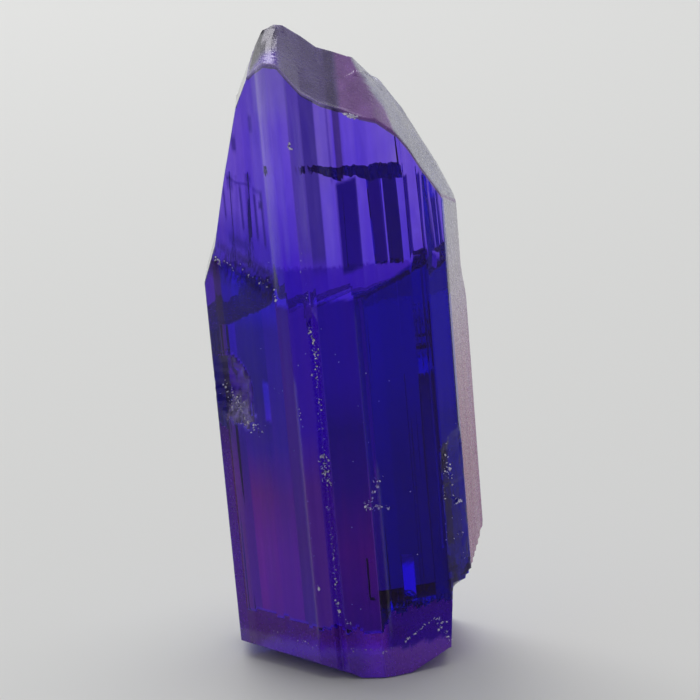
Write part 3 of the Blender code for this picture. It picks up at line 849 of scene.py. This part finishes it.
def crystal_grid():
    """The crystal's skin as a grid of (x, y, z): columns round the prism, and rows from the middle
    of the base, up the side and over the top to its middle. Also which columns are the front's."""
    place, inward, front = prism_columns()
    place = place[:, None]
    inward = inward[:, None]
    front = front[:, None]
    x0, y0 = place[..., 0], place[..., 1]

    # The rim's height, found by going to and fro between side and top
    rim = np.full(x0.shape, RIM_START)
    for _ in range(RIM_ROUNDS):
        x, y = carved(place, inward, rim)
        y = np.minimum(y, wall_depth(x, rim))
        rim = blend(rim, top_height(x, y), RIM_PULL)
    foot_x, foot_y = carved(place, inward, np.zeros_like(x0))
    foot = base_height(foot_x, foot_y)
    foot = foot * (1 + layered(np.stack([foot_x, foot_y, foot], -1), BASE_JAG))

    # Heights at which the parts of each column begin
    edge = rim - RIM_ROUND[0, 0]
    wall_foot = np.minimum(y0, wall_depth(x0, floor_height(x0, FLOOR_Y)))
    floor_out = floor_height(x0, np.maximum(y0, FLOOR_NEAR))
    floor_in = floor_height(x0, np.maximum(wall_foot, FLOOR_FOOT_NEAR)) + FLOOR_STEP
    starts = (floor_out, floor_in, *ledge_line(x0))
    starts = [np.minimum(start, edge - drop) for start, drop in zip(starts, RIM_DROPS)]
    floor_out, floor_in, ledge, ledge_top = starts
    below = stretch(foot, floor_out, BODY_ROWS)
    across = stretch(floor_out, floor_in, FLOOR_ROWS)
    ribbed = stretch(floor_in, ledge, RIB_ROWS)
    step = stretch(ledge, ledge_top, LEDGE_ROWS)
    upper = stretch(ledge_top, edge, UPPER_ROWS)
    z = np.concatenate([below, across, ribbed, step, upper, edge], 1)

    # How far each row has gone from the prism's own side to the break's wall
    gone = np.zeros(z.shape[1])
    gone[BODY_ROWS : BODY_ROWS + FLOOR_ROWS] = np.linspace(0, 1, FLOOR_ROWS, endpoint=False)
    gone[BODY_ROWS + FLOOR_ROWS :] = 1
    x, y = carved(place, inward, z)
    wall = np.minimum(y, wall_depth(x, z))
    y = y + (wall - y) * gone
    side = np.stack([x, y, z], -1)

    # Over the worn rim and the top, from the side's edge to one middle point
    round_end = RIM_ROUND[-1, 1]
    inward_share = round_end + np.linspace(0, 1, CAP_ROWS + 1)[1:] * (1 - round_end)
    share = np.concatenate([RIM_ROUND[1:, 1], inward_share])
    drop = np.concatenate([RIM_ROUND[1:, 0], np.zeros(CAP_ROWS)])
    rim_x, rim_y = x[:, -1:], y[:, -1:]
    cap_x = rim_x + (TOP_CENTRE[0] - rim_x) * share
    cap_y = rim_y + (TOP_CENTRE[1] - rim_y) * share
    cap = np.stack([cap_x, cap_y, top_height(cap_x, cap_y) - drop], -1)

    # Under the base, from its middle to the foot
    share = np.linspace(0, 1, UNDER_ROWS + 1)[:-1]
    under_x = x[:, :1] * share
    under_y = y[:, :1] * share
    under = np.stack([under_x, under_y, base_height(under_x, under_y)], -1)
    grid = np.concatenate([under, side, cap], 1)
    return grid, front


def streaked(grid):
    """Share of light kept in the upright streaks, painted shade: 1 less what the fine and the broad
    ones take, each by its relief's level."""
    fine = 1 + layered(grid, FINE_STREAKS)[..., None]
    broad = 1 + layered(grid, BROAD_STREAKS)[..., None]
    return 1 - fine * FINE_TAKEN - broad * BROAD_TAKEN


def front_tint_and_shade(grid, jag):
    """The front's tints below and above the dark line, whose edge is a little uneven. Besides the
    crystal's colour they hold painted shade, the dark of what is seen through the front.
    """
    x, _, z = np.moveaxis(grid, -1, 0)
    over = z - np.interp(x, *DARK_LINE.T) + layered(grid, LINE_JAG)
    upper = smooth(over, -LINE_BLUR, LINE_BLUR)[..., None]
    deep_part = tinted(x, z + jag, LOWER_TINT_AND_SHADE, LOWER_BRIGHT_SPOTS)
    return blend(deep_part, tinted(x, over, UPPER_TINT_AND_SHADE, UPPER_SHADE_SPOTS), upper)


def wall_shade_and_tint(grid):
    """The break's wall: the bars' painted shade, and a deeper tint below their jagged foot."""
    x, _, z = np.moveaxis(grid, -1, 0)
    low, high = BAR_FOOT - BELOW_BARS_BLUR, BAR_FOOT + BELOW_BARS_BLUR
    over_foot = smooth(z + layered(grid, BELOW_BARS_JAG), low, high)[..., None]
    return blend(BELOW_BARS, bars(x)[1], over_foot)


def crumbled_shade(grid, face):
    """The shoulder, crumbled into small facets, each with a shade of its own."""
    x, y, z = np.moveaxis(grid, -1, 0)
    above = z - np.interp(x, *SHOULDER.T)
    crumbled = within(above, *CRUMBLE) * smooth(-x, *CRUMBLE_RIGHT) * face
    skewed = np.stack([x + CRUMBLE_SKEW[0] * y, above + CRUMBLE_SKEW[1] * x], -1)
    darkest, lighter = CRUMBLE_SHADE
    shade = darkest + lighter * shards(skewed, CRUMBLE_FACET, CRUMBLE_SEED)
    return (1 + (shade - 1) * crumbled)[..., None]


def foot_tint_and_light(x, streaks, worn_lit_foot):
    """The worn band along the foot, darker to the left and of another tint on the right, and the
    broken foot below it, both weakly streaked and both tinted lighter with painted light from the
    floor."""
    darker = 1 - BAND_DARKER * smooth(-x, *BAND_DARKER_LEFT)[..., None]
    band = blend(BAND_LIT_TINT * darker, BAND_LIT_TINT_RIGHT, smooth(x, *BAND_CHANGE)[..., None])
    weak = 1 - BAND_STREAKS + BAND_STREAKS * streaks
    return np.where(worn_lit_foot[..., None], FOOT_LIT_TINT, band) * weak


def top_tint_and_highlight(grid, front_rim):
    """The worn top: grey mauve, pink mauve right of the middle with a dark stripe before it, pale on
    the steep side and dark on the left, with a painted highlight on its left corner in front and on
    its front rim."""
    x, y, z = np.moveaxis(grid, -1, 0)
    top = blend(TOP_GREY, TOP_PINK, smooth(x, *PINK_FROM)[..., None])
    top = top * (1 - STRIPE_DARK * within(x, *TOP_STRIPE)[..., None])
    steep = smooth(z + STEEP_LIFT - side_fall(x, y), *STEEP_BLUR) * (x > SIDE_FALL[0, 0])
    top = blend(top, TOP_PALE, steep[..., None])
    top = top * (1 - TOP_LEFT_DARK * smooth(-x, *TOP_LEFT)[..., None])
    corner_highlight = smooth(-y, *CORNER_HIGHLIGHT_FRONT) * smooth(-x, *CORNER_HIGHLIGHT_LEFT)
    top = blend(top, CORNER_HIGHLIGHT, corner_highlight[..., None])
    pale = front_rim * (1 - smooth(x, *RIM_FADE))
    top = blend(top, RIM_HIGHLIGHT, pale[..., None])
    return top * (1 + layered(grid, *TOP_MOTTLE)[..., None])


def marks_and_painted_light(grid, front):
    """Colour kept, with its painted shade and highlights, wear and haze at each point of the grid,
    and which quads are worn skin. Later parts lie over earlier ones."""
    x, _, z = np.moveaxis(grid, -1, 0)
    rows = np.arange(grid.shape[1])[None] * np.ones(x.shape, int)
    floor_start = UNDER_ROWS + BODY_ROWS
    rib_start = floor_start + FLOOR_ROWS
    ledge_start = rib_start + RIB_ROWS
    side_end = ledge_start + LEDGE_ROWS + UPPER_ROWS + 1
    cap = rows >= side_end
    back = ~front * np.ones(x.shape, bool) & ~cap
    face = front * np.ones(x.shape, bool) & ~cap
    jag = layered(grid, ZONE_JAG)
    streaks = streaked(grid)

    # Front: its tints and streaks hold painted shade besides the crystal's colour
    kept = np.where(face[..., None], front_tint_and_shade(grid, jag) * streaks, 1.0)
    haze = np.where(face, laid(x, z + jag, HAZE_ZONES), 0.0)
    wear = np.where(face, laid(x, z + jag, WEAR_ZONES), 0.0)

    # Right side face: its own tint and haze by height
    frosted = face & (x > FROSTED_FROM)
    weak = 1 + FROSTED_STREAKS * (streaks - 1)
    kept = np.where(frosted[..., None], by_height(z, SIDE_TINT) * weak, kept)
    haze = np.where(frosted, np.interp(z, SIDE_TINT[:, 0], SIDE_TINT[:, 4]), haze)
    wear = np.where(frosted, FROSTED_WEAR, wear)

    # Sides and back, with streaks of painted shade, and the break's wall with the bars' painted
    # shade, its floor and ledge; and the underside
    kept = np.where(back[..., None], streaks, kept)
    ribbed = back & (rows >= rib_start) & (rows <= ledge_start)
    kept = np.where(ribbed[..., None], kept * wall_shade_and_tint(grid), kept)
    wear = np.where(back & (rows >= floor_start) & (rows <= rib_start), FLOOR_WEAR, wear)
    on_ledge = back & (rows > ledge_start) & (rows < ledge_start + LEDGE_ROWS)
    wear = np.where(on_ledge, LEDGE_WEAR, wear)
    wear = np.where(rows < UNDER_ROWS, UNDER_WEAR, wear)

    # Shoulder
    kept = kept * crumbled_shade(grid, face)

    # Worn foot and the dull band along it, both tinted lighter with painted light from the floor,
    # and the left edge up to its chip
    worn_lit_foot = face & (x > FOOT_FROM) & (z + jag < FOOT_TOP)
    worn_lit_band = face & (x > BAND_FROM) & (z + 2 * jag < np.interp(x, *FOOT_BAND.T))
    worn_left = face & (x < BAND_FROM) & (z + jag < LEFT_WORN_TOP)
    low_part = (worn_lit_band | worn_lit_foot)[..., None]
    kept = np.where(low_part, foot_tint_and_light(x, streaks, worn_lit_foot), kept)
    wear = np.where(worn_lit_foot | worn_left | worn_lit_band, FOOT_WEAR, wear)

    # Left chip: violet, bruised white at its lower end
    from_centre = np.linalg.norm(grid - LEFT_CHIP, axis=-1)
    chipped = face * (x > CHIP_FROM) * (1 - smooth(from_centre, *CHIP_SKIN))
    mottled = CHIP_LEVEL + layered(grid, CHIP_MOTTLE)[..., None]
    kept = blend(kept, CHIP_TINT * mottled, chipped[..., None])
    middle_x, middle_z, reach_x, reach_z = BRUISE
    far = np.hypot((x - middle_x) / reach_x, (z - middle_z) / reach_z) + layered(grid, BRUISE_JAG)
    bruised = face * (1 - smooth(far, *BRUISE_FADE))
    speckle = BRUISE_LEVEL + layered(grid, BRUISE_SPECKLE)[..., None]
    kept = blend(kept, BRUISE_TINT * speckle, bruised[..., None])
    haze = np.maximum(haze, BRUISE_HAZE * bruised)
    wear = np.maximum(wear, BRUISE_WEAR * bruised)

    # Top, with painted highlights on its front rim and its left corner in front
    front_rim = cap & (rows < side_end + RIM_ROWS)
    kept = np.where(cap[..., None], top_tint_and_highlight(grid, front_rim), kept)
    wear = np.maximum(np.where(cap, TOP_WEAR, wear), LEAST_WEAR)
    worn = cap | frosted | worn_lit_foot | worn_lit_band | worn_left
    worn = worn | (bruised > BRUISE_WORN) | (chipped > CHIP_WORN)
    worn = worn[:, :-1] & worn[:, 1:] | cap[:, 1:]
    return np.clip(kept, 0, 1), wear, haze, worn


def grains(grid, front):
    """Crushed grains, with one line of them on the rim as a painted glint: skewed octahedra, half
    sunk in the front's skin. Each lies at a random place along its line, at the depth of the nearest
    grid point. Those beside the front, or too far above or below that point, are left out."""
    draw = np.random.default_rng(GRAIN_SEED)
    lines = np.array(GRAIN_LINES)
    of_line = np.repeat(np.arange(len(lines)), lines[:, 5].astype(int))
    line = lines[of_line]
    along = draw.random((len(line), 1))
    place = line[:, 0:2] * (1 - along) + line[:, 2:4] * along
    place = place + draw.normal(size=place.shape) * line[:, 4:5]
    size = line[:, 6] * draw.uniform(GRAIN_LEAST, 1.0, len(line)) ** GRAIN_POWER
    columns = grid[front.ravel(), UNDER_ROWS:-CAP_ROWS]
    middle = columns[:, columns.shape[1] // 2, 0]
    column = np.abs(middle - place[:, :1]).argmin(1)
    row = np.abs(columns[column, :, 2] - place[:, 1:]).argmin(1)
    centre = np.stack([place[:, 0], columns[column, row, 1], place[:, 1]], -1)
    points = np.concatenate([np.eye(3), -np.eye(3)])
    skew = draw.normal(size=(len(line), 3, 3))
    skew /= np.linalg.norm(skew, axis=2, keepdims=True)
    corners = centre[:, None] + size[:, None, None] * (points @ skew)
    span = columns[:, row, 0]
    beside = (place[:, 0] < span.min(0)) | (place[:, 0] > span.max(0))
    astray = beside | (np.abs(columns[column, row, 2] - place[:, 1]) > GRAIN_STEP)
    corners = corners[~astray]
    triangles = GRAIN_FACES[None] + 6 * np.arange(len(corners))[:, None, None]
    return corners.reshape(-1, 3), triangles.reshape(-1, 3)


def skin(name, grid, marked, grain_mesh):
    """A closed mesh of quads through the grid, whose first way is a ring, with the grains beside
    it. Doubles are merged."""
    kept, wear, haze, worn = marked
    corners, triangles = grain_mesh
    columns, rows, _ = grid.shape
    index = np.arange(columns * rows).reshape(columns, rows)
    beside = np.roll(index, -1, 0)
    quads = np.stack([index[:, :-1], beside[:, :-1], beside[:, 1:], index[:, 1:]], -1).reshape(-1, 4)
    mesh = bpy.data.meshes.new(name)
    points = np.concatenate([grid.reshape(-1, 3), corners]) * MM
    mesh.from_pydata(points.tolist(), [], quads.tolist() + (triangles + index.size).tolist())
    grain_slots = np.full(len(triangles), GRAIN_SLOT, np.int32)
    slots = np.concatenate([worn.ravel().astype(np.int32), grain_slots])
    mesh.polygons.foreach_set("material_index", slots)
    colour = np.ones((len(points), 4))
    colour[: index.size, :3] = kept.reshape(-1, 3)
    mesh.attributes.new("kept", "FLOAT_COLOR", "POINT").data.foreach_set("color", colour.ravel())
    for label, values in (("wear", wear), ("haze", haze)):
        level = np.zeros(len(points))
        level[: index.size] = values.ravel()
        mesh.attributes.new(label, "FLOAT", "POINT").data.foreach_set("value", level)
    form = bmesh.new()
    form.from_mesh(mesh)
    bmesh.ops.remove_doubles(form, verts=form.verts, dist=DOUBLES)
    bmesh.ops.recalc_face_normals(form, faces=form.faces)
    form.to_mesh(mesh)
    form.free()
    mesh.shade_smooth()
    mesh.set_sharp_from_angle(angle=SHARP)
    return placed(name, mesh)


def placed(name, data):
    """A new object of this data, in the scene."""
    item = bpy.data.objects.new(name, data)
    bpy.context.scene.collection.objects.link(item)
    return item


def settle(tree, node, values):
    """The node's inputs, by name or number: plain values are set, other nodes' outputs joined."""
    for name, value in values.items():
        if isinstance(value, bpy.types.NodeSocket):
            tree.links.new(value, node.inputs[name])
        else:
            node.inputs[name].default_value = value


def new_node(tree, kind, values=None, **settings):
    """A new node of this kind, with its settings and then its inputs."""
    node = tree.nodes.new("ShaderNode" + kind)
    for name, setting in settings.items():
        setattr(node, name, setting)
    settle(tree, node, values or {})
    return node


def object_noise(tree, scale, detail, along=(1, 1, 1)):
    """A noise texture on object coordinates, its scale in cells per millimetre."""
    where = new_node(tree, "TexCoord").outputs["Object"]
    scales = tuple(scale / MM * share for share in along)
    place = new_node(tree, "Mapping", {"Vector": where, "Scale": scales}).outputs["Vector"]
    noise = new_node(tree, "TexNoise", {"Vector": place, "Scale": 1.0, "Detail": detail})
    return noise.outputs["Fac"]


def attribute(tree, name, output):
    """One of the mesh's own marks, by name."""
    return new_node(tree, "Attribute", attribute_name=name).outputs[output]


def spread(tree, value, *ranges):
    """A range of the value, low and high, laid straight over another and held at its ends."""
    names = ("From Min", "From Max", "To Min", "To Max")
    node = new_node(tree, "MapRange", {"Value": value, **dict(zip(names, ranges))})
    return node.outputs["Result"]


def new_material(name):
    """A new material of this name, with its nodes and its shader."""
    material = bpy.data.materials.new(name)
    material.use_nodes = True
    return material, material.node_tree, material.node_tree.nodes["Principled BSDF"]


def crystal_material(name, transmission, coat_roughness, streak_shade):
    """Tanzanite: plain transmission, index and absorption. The mesh's attributes give the colour
    kept, with its painted shade and highlights, the wear (roughness and pits) and the haze (a coat),
    with fine upright streaks of painted shade over all."""
    material, tree, shader = new_material(name)

    # Colour: the share kept, squared because the shader takes its root, in fine upright streaks of
    # painted shade
    streaks = spread(tree, object_noise(tree, *STREAK_NOISE), *NOISE_RANGE, 1 - streak_shade, 1.0)
    kept = attribute(tree, "kept", "Vector")
    squared = new_node(tree, "VectorMath", {0: kept, 1: kept}, operation="MULTIPLY").outputs[0]
    streaked_part = {0: squared, "Scale": streaks}
    colour = new_node(tree, "VectorMath", streaked_part, operation="SCALE").outputs[0]

    # Wear: rougher where marked, with grain, and pits about a sixteenth of a millimetre across
    wear = attribute(tree, "wear", "Fac")
    grain = spread(tree, object_noise(tree, *WEAR_NOISE), *WEAR_RANGE, LEAST_ROUGH, ROUGHEST)
    pits = {
        "Distance": PIT_DEPTH * MM,
        "Strength": spread(tree, wear, PITS_FROM, 1.0, 0.0, PIT_STRENGTH),
        "Height": object_noise(tree, *PIT_NOISE),
    }
    finish = {
        "Base Color": colour,
        "Roughness": new_node(tree, "Math", {0: wear, 1: grain}, operation="MULTIPLY").outputs[0],
        "Normal": new_node(tree, "Bump", pits).outputs["Normal"],
        "Transmission Weight": transmission,
        "IOR": INDEX,
        "Specular IOR Level": SURFACE_LEVEL,
        "Specular Tint": SURFACE_TINT,
        "Coat Weight": attribute(tree, "haze", "Fac"),
        "Coat Roughness": coat_roughness,
        "Coat IOR": FILM_INDEX,
    }
    settle(tree, shader, finish)

    # Absorption through the crystal
    taken = ABSORPTION / MM
    density = taken.max() / STRONGEST
    clear = {"Color": (*(1 - taken / density), 1), "Density": density}
    volume = new_node(tree, "VolumeAbsorption", clear).outputs["Volume"]
    settle(tree, tree.nodes["Material Output"], {"Volume": volume})
    return material


def grain_and_glint_material():
    """Crushed crystal, and the rim's painted glint: opaque lavender white grains, mottled and dull.
    """
    material, tree, shader = new_material("grains_and_rim_glint")
    mottle = new_node(tree, "ValToRGB", {"Fac": object_noise(tree, *GRAIN_MOTTLE)})
    for element, (place, tint) in zip(mottle.color_ramp.elements, GRAIN_TINTS):
        element.color = tint
        element.position = place
    rough = spread(tree, object_noise(tree, *GRAIN_ROUGH_NOISE), *NOISE_RANGE, *GRAIN_ROUGHNESS)
    settle(tree, shader, {"Base Color": mottle.outputs["Color"], "Roughness": rough})
    return material


def add_camera():
    """A camera in front, at CAMERA_REACH from its target against the way it looks."""
    right = np.array([1.0, 0, 0])
    up = np.array([0, math.sin(CAMERA_DROP), math.cos(CAMERA_DROP)])
    ahead = np.array([0, math.cos(CAMERA_DROP), -math.sin(CAMERA_DROP)])
    across = right * math.cos(CAMERA_LEAN) - up * math.sin(CAMERA_LEAN)
    upward = right * math.sin(CAMERA_LEAN) + up * math.cos(CAMERA_LEAN)
    eye = (CAMERA_TARGET - ahead * CAMERA_REACH) * MM
    camera = placed("camera", bpy.data.cameras.new("camera"))
    turn = Matrix(np.column_stack([across, upward, -ahead]).tolist()).to_4x4()
    camera.matrix_world = Matrix.Translation(Vector(eye.tolist())) @ turn
    camera.data.lens = CAMERA_LENS
    camera.data.clip_start = CAMERA_NEAR
    bpy.context.scene.camera = camera


def add_panel(name, place, size, power):
    """A square soft light at a place in millimetres, turned to the crystal's middle."""
    light = bpy.data.lights.new(name, "AREA")
    light.size = size * MM
    light.energy = power
    panel = placed(name, light)
    aim = Vector((0, 0, APEX / 2)) - Vector(place)
    panel.location = Vector(place) * MM
    panel.rotation_euler = aim.to_track_quat("-Z", "Y").to_euler()


def add_world():
    """Soft light from all round, bright behind and dim in front."""
    world = bpy.data.worlds.new("studio")
    world.use_nodes = True
    bpy.context.scene.world = world
    tree = world.node_tree
    where = new_node(tree, "TexCoord").outputs["Generated"]
    depth = new_node(tree, "SeparateXYZ", {0: where}).outputs["Y"]
    strength = spread(tree, depth, *WORLD_TURN, WORLD_FRONT, WORLD_BACK)
    settle(tree, tree.nodes["Background"], {"Strength": strength, "Color": WORLD_COLOUR})


def add_floor():
    """A pale matt square, just under the crystal."""
    mesh = bpy.data.meshes.new("floor")
    signs = ((-1, -1), (1, -1), (1, 1), (-1, 1))
    corners = [(a * FLOOR_HALF, b * FLOOR_HALF, FLOOR_LEVEL * MM) for a, b in signs]
    mesh.from_pydata(corners, [], [(0, 1, 2, 3)])
    material, tree, shader = new_material("floor")
    matt = {
        "Base Color": FLOOR_COLOUR,
        "Roughness": FLOOR_ROUGHNESS,
        "Specular IOR Level": FLOOR_SHINE,
    }
    settle(tree, shader, matt)
    mesh.materials.append(material)
    placed("floor", mesh)


grid, front = crystal_grid()
crystal = skin("crystal_skin", grid, marks_and_painted_light(grid, front), grains(grid, front))
clear_skin = crystal_material("tanzanite", transmission=1.0, coat_roughness=0.35, streak_shade=0.12)
worn_skin = crystal_material("worn_skin", transmission=0.55, coat_roughness=0.5, streak_shade=0.05)
for finish in (clear_skin, worn_skin, grain_and_glint_material()):
    crystal.data.materials.append(finish)
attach(crystal, "root")
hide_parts("tanzanite_crystal")

add_floor()
add_camera()
add_world()
add_panel("back_panel", place=(-60, 170, 190), size=180, power=0.30)
add_panel("top_panel", place=(40, 20, 220), size=140, power=0.10)
bpy.context.scene.view_settings.view_transform = "Standard"
